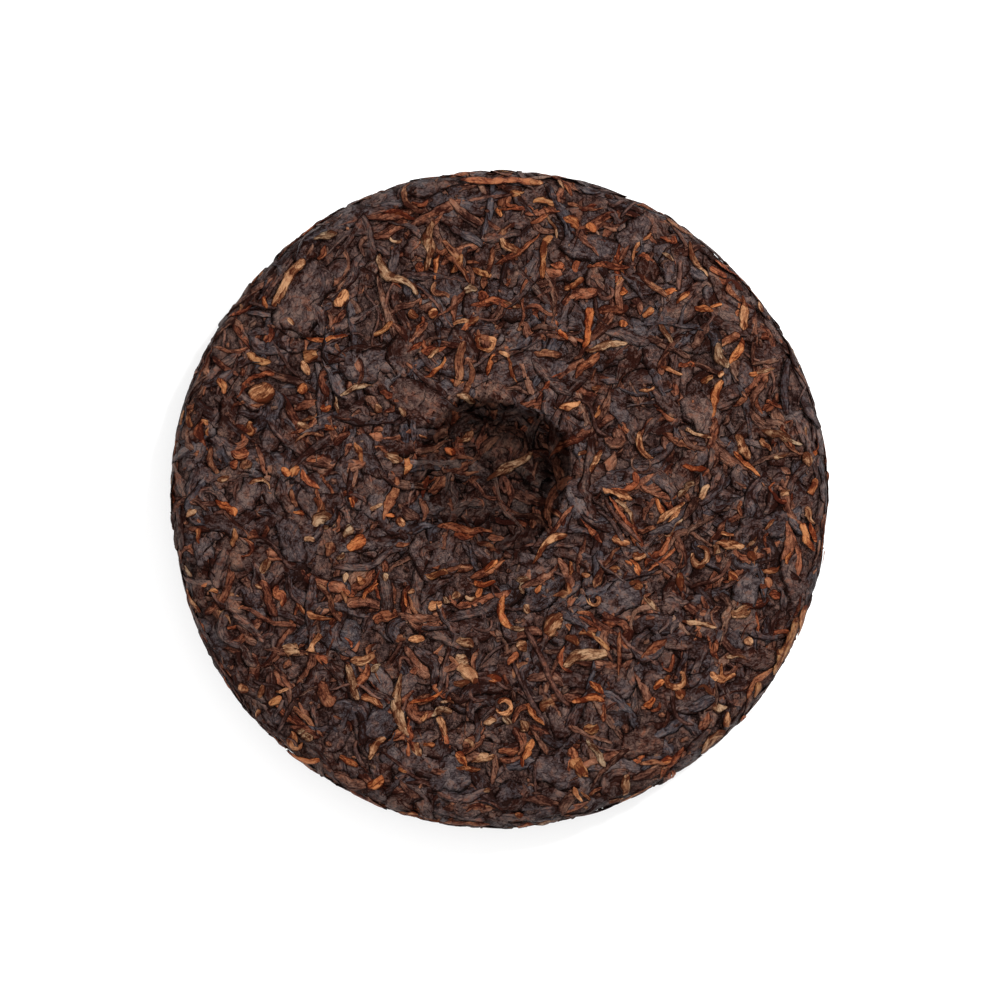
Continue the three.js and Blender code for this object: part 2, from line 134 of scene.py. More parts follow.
# Leaves that stand out on the back, on its sheet: x and y of the middle, heading, length, width
# and how far the leaf turns from end to end. A turn of more than 300 degrees closes to a ring.
LANDMARKS = {
    "amber_strips": [
        (-69, 58, -75, 4, 1.6, 100), (-5.4, 67, -22, 6.4, 2.2, 0), (-18, 68.5, -97, 7.6, 1.2, 0),
        (-12, 69.7, -115, 6.8, 2.2, 0), (-51, 47.5, 4, 12.3, 1.8, 8), (-34, 50, 40, 7.4, 2, 0),
        (-51, 26.6, 0, 4.5, 1.6, 0), (-50, 20.7, 0, 4, 1.6, 0), (-95, 24, -97, 5, 1.8, 0),
        (-92, 23, -88, 5.3, 2, 0), (-82, 33, -80, 5, 2.6, 0), (-58, 32.3, 60, 4, 3, 0),
        (-56, 41.8, 20, 5, 4, 0), (-71.6, 41, -20, 8, 2.5, 0), (-63, 7.6, -42, 3.8, 2.8, 0),
        (-60.3, 7.6, 45, 3.8, 2.8, 0), (14, 88, -5, 6.6, 2.2, 0), (22, 82, -48, 6.8, 3, 0),
        (27.8, 80.6, -30, 3.9, 2.4, 0), (14, 72, -107, 14, 2.6, 100), (37, 61.4, 52, 2.8, 2, 0),
        (44.6, 55, 23, 4.5, 2.4, 0), (37.5, 51.6, 90, 2.6, 2.2, 0), (26.8, 50.4, -96, 12, 2.6, -59),
        (54.7, 59.6, 34, 5.7, 1.8, -30), (61, 56, -8, 6.5, 2.2, 0), (64.8, 57, 9, 3.8, 1.2, 0),
        (19.6, 48, -35, 4.7, 1.8, 0), (64, 29.3, -110, 12.6, 2.8, 55), (62, 35.5, 36, 4, 2, 0),
        (70.8, 43.3, -114, 9.8, 2.4, 0), (73, 10, -41, 10.5, 1.7, 0), (57.7, 9, -12, 7.8, 2, 0),
        (93, 3, 60, 5.5, 2.4, 0), (30, 25.4, 70, 4.5, 1.4, 0), (22, -20.7, -90, 4.6, 1.8, 0),
        (40, -19.8, -55, 7.2, 2.1, 0), (40.7, -25.7, -30, 4, 3, 0), (12, -27, 60, 3, 2.4, 0),
        (1.8, -33.7, -75, 14, 2.2, 126), (28.8, -41.8, -24, 11.5, 2, -74), (22, -42, -30, 5, 2.6, 0),
        (91, -11.4, -62, 9, 1.7, 33), (93, -10.3, -68, 7, 1.5, 15), (86, -18, -104, 3.8, 2, 0),
        (75, -17.4, -33, 3.6, 2.4, 0), (69.6, -23.3, -36, 4.3, 2.4, 0), (53.8, -25, -84, 6, 2, 0),
        (85.6, -44.2, -111, 19, 4.8, 8), (-85, -27.5, -10, 3, 1.8, 0), (-79, -11.7, -95, 5.5, 2, 85),
        (-81, -3, -38, 8, 3, 0), (-89.5, -11.4, -88, 4.5, 1.6, 0), (-59.3, -4.6, -5, 3.5, 1.6, 0),
        (-43.4, -1.3, -85, 3, 2, 0), (-31.8, -6, 0, 3, 1.5, 0), (-17.8, -22.4, 3, 7, 2, 0),
        (-27, -30, -85, 4, 1.4, 0), (-3.9, -25.4, 6, 6, 1.6, 0), (-2, -20, 40, 5, 2, 0),
        (-41.9, -13.5, 30, 6, 4, 0), (-21.4, -59.3, 21, 11.5, 1.3, 0), (-10.4, -77, -44, 5.6, 2, 0),
        (-44, -78, -32, 6.5, 1.8, -57), (-36, -84, 32, 6, 2.4, 0), (-27.6, -80, -5, 2.7, 1.6, 0),
        (-58, -78, -8, 10.6, 2.4, 48), (-20, -72.4, -15, 3.5, 2, 0), (8.9, -74.5, 63, 7, 2.6, -30),
        (26.8, -59.6, -2, 10.5, 2.8, -31), (24, -80, -52, 8.5, 4, -10), (29.7, -56, -40, 6, 2, 0),
        (50, -77.5, 0, 3.5, 2.6, 0), (6, -93.5, -20, 2.6, 2, 0), (7.9, -97.5, 15, 5, 1.8, 0),
        (66.6, -51.6, -60, 6, 1.4, 160), (76.5, -57, -87, 5, 2.6, 0), (75.5, -66, -10, 7.5, 2, 82),
        (-81, -56, -60, 5, 2, 0), (-66, -60, 20, 4, 2.5, 0), (47.8, -55, 45, 3.8, 1.8, 0),
        (45, -60.5, 45, 4, 2, 0), (99, -18, -87, 4.5, 2, 0), (11.3, -64, -41, 8.5, 1.8, 26),
        (27.6, -68.5, 20, 5, 3.2, 0), (-18, 37.9, 48, 10, 1.6, 78), (-14.6, 14.1, -25, 4, 2.5, 0),
        (-1.2, -53, -10, 4.5, 3, 0), (-37.8, -27.5, 46, 7, 1.6, -48), (75.5, 36.7, 10, 3, 1.4, 0),
    ],
    "golden_buds": [
        (-62.6, 64, -122, 17, 3.4, 14), (-51.4, 77.5, 14, 8, 2.4, 0), (-20.5, 75, -94, 15.6, 3, 8),
        (-30, 65.6, -48, 18, 2.5, 55), (-30.3, 76.3, 0, 5, 1, 250), (-46.4, 59, 70, 6, 4, 0),
        (-19.3, 54.6, 20, 3, 2.2, 0), (-24.7, 54, -30, 3, 2, 0), (-8.3, 62.3, 10, 4, 2.4, 0),
        (-9.7, 52.8, 22, 9, 2, 20), (-42.2, 32.3, 18, 11, 1.7, -15), (-47.6, 27.5, -80, 5, 1.2, 0),
        (-70, 31, 40, 7, 6, 0), (-62, 53.2, -54, 4, 1.6, 0), (-28.8, 25, -62, 3.8, 1.8, 0),
        (-57.4, 38.8, -60, 5, 2.6, 0), (-57.4, 21.6, -25, 4, 2, 0), (-70.5, 4.6, -20, 9, 1.2, -150),
        (-81.5, 5.8, 20, 4, 2, 0), (11, 94, -15, 5.6, 2, 0), (18.6, 94, -65, 3.7, 1.6, 0),
        (42, 74.5, -120, 11, 1.6, 42), (3, 75, -48, 8, 2.6, 0), (22.9, 63.8, 29, 7.4, 3, 0),
        (59.2, 70.6, -64, 12.8, 1.6, 6), (44.3, 87.4, -18, 6, 2, 0), (72.7, 54.5, -90, 10.5, 2.4, 0),
        (78.5, 57, -76, 4, 2.4, 0), (51, 71.4, -30, 4, 1.4, 0), (49.5, 48.8, -52, 7.4, 2, 0),
        (65.6, 42, -72, 8.6, 2.8, 0), (51.4, 38, -25, 6.5, 1.4, 20), (44, 32, -3, 5, 1.6, 0),
        (79, 37.5, 18, 6, 1.2, 0), (82.6, 18.2, -24, 10.8, 2.6, -12), (72, 14.7, -61, 9, 3, 0),
        (78.5, 15.6, -47, 5, 1.8, 0), (83, 12.2, 17, 5.5, 1.4, 0), (91, 11.4, -52, 4.5, 3, 0),
        (55.4, 2.4, 32, 6.5, 3, 0), (60.8, 2, 60, 4.5, 2, 0), (85, 1.8, 25, 3.5, 2.5, 0),
        (58.9, 18.9, -19, 9, 1.4, 10), (43, 15, -60, 10, 2, 85), (29, 33, 0, 3, 1.6, 0),
        (21.8, 27.6, -159, 7.5, 2.5, 0), (3.9, 9.4, -147, 17, 3, -20), (32, 44.9, 9, 13.4, 2.4, 0),
        (28.5, 10.7, 64, 8.3, 1.8, 0), (4.2, 37.9, -69, 8.5, 1.5, 0), (2, 43, -14, 3.5, 1.6, 0),
        (24.8, 13.4, 38, 3.4, 1.4, 0), (14.9, -14, -141, 14.5, 2.3, 14), (35.4, 1.2, -19, 10, 2.6, 0),
        (50.8, -4.3, 38, 10.5, 2, 0), (37.8, -3.7, -50, 10, 1.8, -50), (36.3, -13, -20, 6, 3.5, 0),
        (42, -16.8, 20, 4, 3, 0), (25.9, -22.7, -15, 3, 1.4, 0), (45.5, -31, -47, 6, 1.8, 0),
        (28.2, -30.2, 0, 9, 1.6, 320), (20.8, -26.6, -65, 4, 1.8, 0), (19, -28.7, 5, 5, 1.8, 0),
        (8.6, -32.8, -60, 3, 2, 0), (6.2, -38.6, -5, 5, 1.6, 0), (16.6, -37.3, 50, 8, 4, 0),
        (25.6, -47, 18, 14, 4, -25), (7.1, -43.9, 30, 3.5, 3, 0), (59.6, -17.4, 40, 14, 2.3, 330),
        (68.4, -14, -6, 9, 2.6, 0), (64.4, -15, 100, 3, 2.2, 0), (68, -10.6, -8, 3.7, 1.4, 0),
        (75.2, -13.4, 38, 4.5, 1, 0), (80.3, -7.9, 48, 4.3, 1.2, 0), (92, -5.2, -48, 5.5, 2.6, 0),
        (91, -37, -95, 10, 2.5, 0), (72, -33.7, 20, 6, 5, 0), (59.5, -37.3, -12, 12, 1.6, 0),
        (74, -42.4, 10, 3, 2.5, 0), (70, -47, 0, 7, 1.4, -60), (52, -5.5, 47, 5.5, 1.4, 0),
        (-69.3, -20.5, 58, 5.5, 3, 0), (-53, -6.4, 45, 7, 4, 0), (-56, -12.5, 5, 4, 2, 0),
        (-71.5, -27, -40, 2.5, 1.8, 0), (-91.5, -31, -56, 9, 2.5, 0), (-92.5, -22, -56, 3.5, 1.6, 0),
        (-55, -34.6, -25, 12.6, 2, 51), (-61, -45, 10, 5, 4, 0), (-54.9, -43.4, 56, 7, 3, 0),
        (-91.5, -4.3, 30, 3.5, 3, 0), (-36, -2.8, 30, 4.2, 1.6, 0), (-28.8, -7.6, -70, 3.5, 3, 0),
        (-44.4, -10, 20, 4, 3.5, 0), (-47.3, -17.7, 60, 3, 2, 0), (-45.2, -23.3, 80, 3, 2.4, 0),
        (-40.7, -24.7, -60, 3, 2.6, 0), (-32.6, -23.6, 70, 2.5, 1.8, 0), (-45.3, -29.3, -70, 4, 1.4, 0),
        (-25.4, -27.5, 20, 2.2, 1.8, 0), (-18.4, -31.4, 20, 4, 3, 0), (-14.6, -30.2, -60, 3, 2.4, 0),
        (-12.5, -29, 30, 3, 2.4, 0), (-8.2, -29.9, -10, 3.5, 1.8, 0), (-9.5, -42.7, -15, 6, 2.4, 0),
        (-39.7, -47.6, 17, 7.5, 2.8, 0), (-23.9, -41.8, 17, 5, 2, 0), (-10.6, -48, 10, 5, 4, 0),
        (-43, -54.3, -73, 11.5, 3, 10), (-36.1, -50.5, 36, 3.5, 2, 0), (-37.3, -60.2, -24, 7.5, 2.6, 0),
        (-29, -61.4, -83, 19.5, 3.5, 45), (-16.6, -63.2, 20, 7, 2.6, 0), (-16.4, -67.5, -67, 6, 2.4, 0),
        (-22, -65, 55, 3.5, 1.4, 0), (-14.6, -59.9, -10, 4.5, 1, -110), (-8.6, -51.6, -45, 7.5, 3.6, 0),
        (-10.4, -54.7, 12, 5, 2, 0), (2.4, -61.7, 80, 12.5, 1.9, 330), (2.7, -65.5, -60, 3, 2.6, 0),
        (-2, -65.3, 5, 4, 2, 0), (-35.7, -73.5, 48, 9.5, 2.4, -38), (-24, -74.5, -85, 5, 3, 0),
        (-4.3, -76.5, 15, 7, 3, 0), (-8.3, -72, -35, 4.5, 1.4, -60), (-3, -86, 30, 2.5, 2, 0),
        (-26.5, -94.5, -5, 6, 2.4, 0), (7.9, -66.7, -70, 4, 3, 0), (14.6, -61.4, 20, 5, 4, 0),
        (29, -75.3, -57, 10.5, 2.6, 0), (23.5, -87.5, -55, 5, 1.4, 0), (25.9, -88, -40, 4, 1.2, 0),
        (37.8, -85.2, -95, 6.5, 2.8, -110), (41.2, -89, 33, 11, 1.4, 0), (35, -90, 8, 4.5, 2, 0),
        (52.3, -54.5, 10, 14, 2.1, 330), (53.6, -58, -60, 4, 3, 0), (65.6, -62, -2, 4.7, 2.4, 0),
        (66.3, -53, -8, 9, 2.4, 85), (61.5, -56.6, -20, 6, 1.2, -100), (64, -72.3, 47, 11, 3.8, -8),
        (67.5, -66, -83, 5, 2, 60), (-75.5, -56.5, -30, 3.5, 3, 0), (-70, -57.5, -105, 4, 1.6, 0),
        (-63.8, -57, 15, 4, 1.4, 0), (-70.5, -63.5, 60, 3, 1.6, 0), (-58, -69, 30, 2.6, 2.2, 0),
        (-56, -70.5, -50, 3.5, 2.4, 0), (-19.2, 42.7, 43, 5, 2, 0), (-3.6, 45.6, 0, 14, 1.5, 330),
        (-9.4, 29.7, -13, 6.5, 1.8, 0), (-35.4, 26.6, -50, 3, 2.5, 0), (-31.5, 11.7, -18, 6, 3.4, 0),
        (-22.4, 18, -35, 2, 1.2, 0), (-9.2, 18.3, 40, 6, 2, 0), (66, 36.4, 40, 2, 2, 0),
    ],
    "russet_strips": [
        (-26, 88.5, -65, 15, 2, 150), (-13.7, 73.9, -50, 8, 2, 0), (1.2, 94.5, -2, 25, 2.4, -12),
        (15.8, 85.8, -10, 5, 1.4, 50), (12.2, 83, 30, 5.7, 1.8, 0), (17.5, 69.1, 0, 4.7, 2.4, 0),
        (32.7, 68.7, -1, 13.5, 2, 0), (45.8, 63.2, -39, 11.5, 2.2, -12), (66.8, 69.2, -34, 5.5, 1.4, 0),
        (65.3, 67, -30, 5.6, 1.8, 0), (14.7, 42.5, -6, 8.8, 2.6, 0), (-56, 18.3, 12, 9, 1.2, -95),
        (-49.6, -31.2, -58, 13.7, 2, 0), (-60.8, -0.3, -62, 5.8, 1.6, 0), (-50, -15.3, 80, 4, 3, 0),
        (-78.5, 10, 0, 3, 2.6, 0), (-75, 10, 60, 3, 2.6, 0), (-9, -96.5, 0, 14, 2.4, 4),
        (36, -46.2, -92, 13, 1.4, 0), (31.5, -63.5, -92, 5.5, 2.4, 0), (28, -37, -30, 8, 1.2, -20),
        (27, -35.5, -30, 8, 1.2, -20), (-51, -58, -60, 8, 5, 0), (-33, -35.2, 20, 8, 5, 0),
        (64, -43.3, 75, 4, 1.4, 0), (45.7, -78.5, 0, 8, 1.6, -45), (71.4, -3, -90, 5, 1.4, 20),
        (26.5, 39.4, -133, 11.5, 2.5, 0), (80, -25, -70, 3.4, 2.6, 0), (-11.3, 39.7, -102, 15, 3, -29),
        (-9.8, -9.4, -5, 17, 2.6, -30), (51.5, -84, -70, 5, 1.6, 0), (53, -83.4, -66, 5, 1.6, 0),
        (50, -85, -74, 5, 1.6, 0), (36, -4.5, -49, 12, 1.3, 0), (-85, 11, -80, 9, 2, 0),
    ],
    "brown_strips": [
        (-9.8, 84.8, -39, 12.5, 3, 0), (24.5, 60, 26, 12, 4, 0), (-44, -83.8, -17, 11, 4, 0),
        (-23.3, -35.5, -3, 12.9, 2.6, 0), (42.2, 9.7, 0, 17, 0.9, 330), (19, -6.5, -130, 12, 1.6, 0),
        (57, -3, 58, 8, 3, 0), (60, 48, 60, 9, 3, 10), (-68, -30, -60, 12, 3, 0),
    ],
    "dark_strips": [
        (-69.5, 54.5, 0, 10, 1.5, 0), (-9.5, 78.3, -30, 12.6, 3, 8), (38.4, 47.6, -13, 14.6, 4, 0),
        (85, 32.7, -93, 17, 2.5, -6), (-38, -18.6, 14, 24, 2.8, -28), (-6.8, -33.3, 24, 17, 3.6, 8),
        (-83, -21, -106, 13, 4, 0), (-73.6, -38.5, -42, 13, 3, 0), (-27.4, 18.9, -80, 7, 3, 0),
        (92.5, 25.2, -60, 12, 3, 70), (-74, -47, -45, 9, 3, 20), (60, -61, 20, 9, 4, 0),
    ],
    "leaf_stems": [
        (39.2, 86.2, -130, 7.8, 1.2, 0), (54, 66, -94, 9.5, 1.8, 0), (36.6, -7.3, -49, 17, 1.6, 10),
        (34.6, -9, -50, 16, 1.4, 12), (9, -57.8, -62, 21, 1.6, 24), (14, -50, -60, 28, 1.9, 34),
        (-62.5, -64.5, -118, 11.5, 1.6, 0), (-64.5, -62.5, -116, 6, 1.3, 0), (28, 24, -48, 16.8, 1.5, 6),
        (-68, 57, -8, 13, 1.2, 30),
    ],
    "broad_leaves": [
        (-57.7, 59.3, 60, 24, 13, 0), (26.8, 74.6, -20, 17, 8, 0), (41, 78.8, 45, 12, 7, 0),
        (-23.8, 27.8, -35, 19, 12, 0), (-33.3, 8.2, -15, 10, 6.5, 0), (-74, -19.2, 30, 12, 6.5, 0),
        (-61.5, -12.9, -80, 13, 8, 0), (-87.5, -15.8, -70, 8, 6, 0), (36, -30, 10, 15, 9, 0),
        (74, -27, 60, 11, 8, 0), (56.6, -60, 10, 13, 8, 0), (18, -81, -15, 15, 10, 0),
        (-34, -66, 40, 14, 9, 0), (43, -73, 0, 13, 9, 0), (-14.6, -82, 10, 13, 9, 0),
        (-75, 0, 50, 13, 8, 0), (-40, 40, -10, 14, 9, 0), (60, 25, -60, 13, 9, 0),
    ],
}

# Linear colours of each material, from its deep colour, which dark tone and the painted shade at
# edges and creases take it to, to its lightest tone, and how rough it is.
FINISHES = {
    "broad_leaves": dict(
        deep=(0.011, 0.0026, 0.0013), body=(0.034, 0.0214, 0.0196),
        rust=(0.093, 0.028, 0.0104), light=(0.086, 0.054, 0.042),
        roughness=0.62, streaks=0.5, flakes=0.34, bump=0.9),
    "dark_strips": dict(
        deep=(0.01, 0.0025, 0.0014), body=(0.027, 0.0188, 0.0188),
        rust=(0.095, 0.0265, 0.0092), light=(0.078, 0.049, 0.039),
        roughness=0.58, streaks=0.75, flakes=0.38, bump=0.9),
    "brown_strips": dict(
        deep=(0.015, 0.003, 0.0014), body=(0.07, 0.0245, 0.0124),
        rust=(0.133, 0.035, 0.0104), light=(0.156, 0.069, 0.036),
        roughness=0.62, streaks=0.75, flakes=0.38, bump=0.9),
    "russet_strips": dict(
        deep=(0.0225, 0.0037, 0.0012), body=(0.091, 0.0235, 0.0075),
        rust=(0.14, 0.031, 0.0073), light=(0.195, 0.071, 0.025),
        roughness=0.62, streaks=0.8, flakes=0.5, bump=0.8),
    "amber_strips": dict(
        deep=(0.045, 0.0077, 0.0018), body=(0.146, 0.043, 0.0105),
        rust=(0.172, 0.0365, 0.0073), light=(0.262, 0.104, 0.032),
        roughness=0.64, streaks=0.9, flakes=0.85, bump=0.8),
    "golden_buds": dict(
        deep=(0.04, 0.0095, 0.003), body=(0.122, 0.052, 0.021),
        rust=(0.135, 0.043, 0.0125), light=(0.268, 0.149, 0.073),
        roughness=0.66, streaks=0.9, flakes=0.85, bump=0.8),
    "leaf_stems": dict(
        deep=(0.0116, 0.0028, 0.0014), body=(0.04, 0.0175, 0.013),
        rust=(0.092, 0.028, 0.0104), light=(0.104, 0.05, 0.033),
        roughness=0.58, streaks=0.7, flakes=0.2, bump=0.7),
    "leaf_crumbs": dict(
        deep=(0.0116, 0.0028, 0.0014), body=(0.047, 0.019, 0.0115),
        rust=(0.138, 0.039, 0.0115), light=(0.15, 0.067, 0.033),
        roughness=0.66, streaks=0.5, flakes=0.4, bump=0.7),
    "leaf_bed": dict(
        deep=(0.0065, 0.0014, 0.0007), body=(0.029, 0.0154, 0.0128),
        rust=(0.065, 0.0195, 0.0074), light=(0.075, 0.042, 0.031),
        roughness=0.7, streaks=0.5, flakes=0.5, bump=0.9),
}
# How much of each pattern goes into a leaf's shade, the painted shade that its edges and creases
# take off it, and the most rust that lies over it.
STREAK_GAIN = 2.1
DUST_GAINS = {"Mottle": 1.8, "Grit": 1.1, "Drift": 0.8}
PAINTED_EDGE_SHADE = 0.57
PAINTED_CREASE_SHADE = 0.34
MOST_RUST = 0.78
# How glossy folds are, and how much more what stands up is.
FOLD_GLOSS = 0.035
EXTRA_GLOSS = 0.18
# Some leaves are cooler in colour than their kind and some warmer.
COOL_TONE = (0.78, 0.95, 1.18)
WARM_TONE = (1.22, 0.96, 0.79)
# Painted shade: what leaf in the dimple is multiplied by where its painted shade is full, most
# towards the upper right, and the painted shade on the line of its lip.
PAINTED_DIMPLE_SHADE = (0.42, 0.28, 0.18)
PAINTED_LIP_SHADE = (0.2, 0.12, 0.1)
LIP_REACH = 0.97


def smoothstep(value, low, high):
    """0 up to low, 1 from high on, and 3s^2 - 2s^3 of the share s between them."""
    share = np.clip((value - low) / (high - low), 0, 1)
    return share * share * (3 - 2 * share)


def lattice_noise(x, y):
    """Smooth noise from 0 to 1: random values on a unit lattice, blended by smoothstep shares."""
    column, row = np.floor(x).astype(int), np.floor(y).astype(int)
    across, up = smoothstep(x - column, 0, 1), smoothstep(y - row, 0, 1)
    size = LATTICE.shape[0]

    def corner(right, above):
        return LATTICE[(row + above) % size, (column + right) % size]

    below = corner(0, 0) * (1 - across) + corner(1, 0) * across
    above = corner(0, 1) * (1 - across) + corner(1, 1) * across
    return below * (1 - up) + above * up


def bezier(points, samples=80):
    """Points of a Bezier curve: the sum of its control points times Bernstein weights."""
    t = np.linspace(0, 1, samples, endpoint=False)[:, None]
    degree = len(points) - 1
    terms = [
        math.comb(degree, i) * t ** i * (1 - t) ** (degree - i) * np.array(point)
        for i, point in enumerate(points)
    ]
    return sum(terms)


def section_table():
    """The half section from the back's middle over the rim to the front's middle: radius and
    height, tabled against the share of the way along it."""
    shoulder = (SHOULDER_RADIUS, CAKE_THICKNESS - SHOULDER_DROP)
    nose = (CAKE_RADIUS, NOSE_HEIGHT)
    under = (UNDER_SHOULDER_RADIUS, UNDER_SHOULDER_HEIGHT)
    seat = (SEAT_RADIUS, SEAT_DEPTH)
    curves = [
        [(0, CAKE_THICKNESS), (0.62 * SHOULDER_RADIUS, CAKE_THICKNESS), shoulder],
        [shoulder, (CAKE_RADIUS - 1.6, shoulder[1] - 1.0), (CAKE_RADIUS, NOSE_HEIGHT + 4.6), nose],
        [nose, (CAKE_RADIUS, NOSE_HEIGHT - 3.8), (CAKE_RADIUS - 3.8, under[1] + 2.0), under],
        [under, (SEAT_RADIUS + 12, SEAT_DEPTH), seat],
        [seat, (0, SEAT_DEPTH)],
    ]
    points = np.vstack([bezier(curve) for curve in curves] + [[(0, SEAT_DEPTH)]])
    steps = np.hypot(*np.diff(points, axis=0).T)
    along = np.concatenate([[0], np.cumsum(steps)])
    return along[-1], along / along[-1], points[:, 0], points[:, 1]


SECTION_LENGTH, SECTION_SHARE, SECTION_RADIUS, SECTION_HEIGHT = section_table()
SHEET_RADIUS = 0.5 * SECTION_LENGTH


def out_of_round(angle):
    """How much further out than a circle the outline lies: three cosines of the angle."""
    slow = 0.0045 * np.cos(angle + 0.87) + 0.003 * np.cos(3 * angle - 0.6)
    return slow + 0.002 * np.sin(7 * angle)


def swell(x, y):
    """Low swells of the pressed leaf: two products of sines, 30 to 60 mm long."""
    long = np.sin(0.11 * x + 1.3) * np.cos(0.09 * y - 0.4)
    short = np.sin(0.27 * x - 0.21 * y) * np.cos(0.23 * x + 0.19 * y + 2.1)
    return 0.35 * long + 0.25 * short


def dimple_spread(angle):
    """How far out the dimple's edge lies, as a share of its radius: a rounded square."""
    return 1 + 0.045 * np.cos(4 * angle - 1.8) + 0.012 * np.cos(2 * angle)


def dimple_reach(x, y):
    """How far out from the dimple's middle a place is, as a share of the way to its edge, and
    the direction it lies in."""
    dx, dy = x - DIMPLE_X, y - DIMPLE_Y
    angle = np.arctan2(dy, dx)
    return np.hypot(dx, dy) / (DIMPLE_RADIUS * dimple_spread(angle)), angle


def shown_reach(front, x, y):
    """The reach as the finishes read it, which is never above FAR_REACH."""
    return np.where(front, FAR_REACH, np.minimum(dimple_reach(x, y)[0], FAR_REACH))


def rim_share(x, y):
    """0 on both faces, 1 on the rim and smooth between them."""
    return smoothstep(np.hypot(x, y), SHOULDER_RADIUS - 4, SHOULDER_RADIUS + 6)


def dimple_painted_shade(front, x, y):
    """How much painted shade the dimple's leaf takes: more towards the upper right, where the wall
    is steepest and lies in shade, and less high on the wall than on the floor."""
    towards = (x - DIMPLE_X + y - DIMPLE_Y) / math.sqrt(2)
    on_floor = 0.72 + 0.28 * smoothstep(towards, -6, 10)
    on_wall = 1 - 0.38 * smoothstep(dimple_reach(x, y)[0], 0.6, 0.85)
    return np.where(front, 0.0, on_floor * on_wall)


def dimple_drop(x, y):
    """Depth of the dimple: 1 - (1 - s)^2.2 of the share s of the way from its edge to the floor,
    whose own edge depends on the angle, over a floor that rises with the square of the way out."""
    reach, angle = dimple_reach(x, y)
    floor_edge = 0.56 + 0.17 * np.cos(angle - 0.8)
    inwards = np.clip((1 - reach) / (1 - floor_edge), 0, 1)
    wall = 1 - (1 - inwards) ** 2.2
    return DIMPLE_DEPTH * wall * (1 - 0.1 * np.minimum(reach, 1) ** 2)


def shoulder_sag(along, angle):
    """How much lower the back's shoulder is at its upper left, in a band inside the rim."""
    band = smoothstep(along, 78, 92) - smoothstep(along, 95, 106)
    return 1.3 * band * (0.5 + 0.5 * np.cos(angle - 2.4))


def skin(front, x, y):
    """The skin's point for a place on a sheet: the section's point as far along as the place is
    from the middle, turned to its angle, lowered by the dimple and raised by the swells."""
    along, angle = np.hypot(x, y), np.arctan2(y, x)
    share = np.clip(along / SECTION_LENGTH, 0, 1)
    share = np.where(front, 1 - share, share)
    radius = np.interp(share, SECTION_SHARE, SECTION_RADIUS) * (1 + out_of_round(angle))
    height = np.interp(share, SECTION_SHARE, SECTION_HEIGHT)
    seat = 1 - smoothstep(along, SEAT_RADIUS, SHOULDER_RADIUS)
    rise = swell(x, y)
    sunk = dimple_drop(x, y) + shoulder_sag(along, angle)
    height = height + np.where(front, rise * (1 - seat), rise - sunk)
    return np.stack([radius * np.cos(angle), radius * np.sin(angle), height], axis=-1)


def lifted(front, x, y, lift):
    """Points a lift above the skin along its normal, the cross product of its two slopes. Near
    the table they are squeezed to stay over it: s ln(1 + e^(z/s))."""
    step = 0.6
    east = skin(front, x + step, y) - skin(front, x - step, y)
    north = skin(front, x, y + step) - skin(front, x, y - step)
    normal = np.cross(east, north)
    normal /= np.linalg.norm(normal, axis=-1, keepdims=True)
    outward = np.where(front, -1.0, 1.0)[..., None]
    points = skin(front, x, y) + normal * outward * lift[..., None]
    points[..., 2] = TABLE_SOFTNESS * np.logaddexp(0, points[..., 2] / TABLE_SOFTNESS)
    return points


def between(low, high, count, power=1.0):
    """Random numbers from low to high, more of them low where the power is above 1."""
    return low + (high - low) * random.random(count) ** power


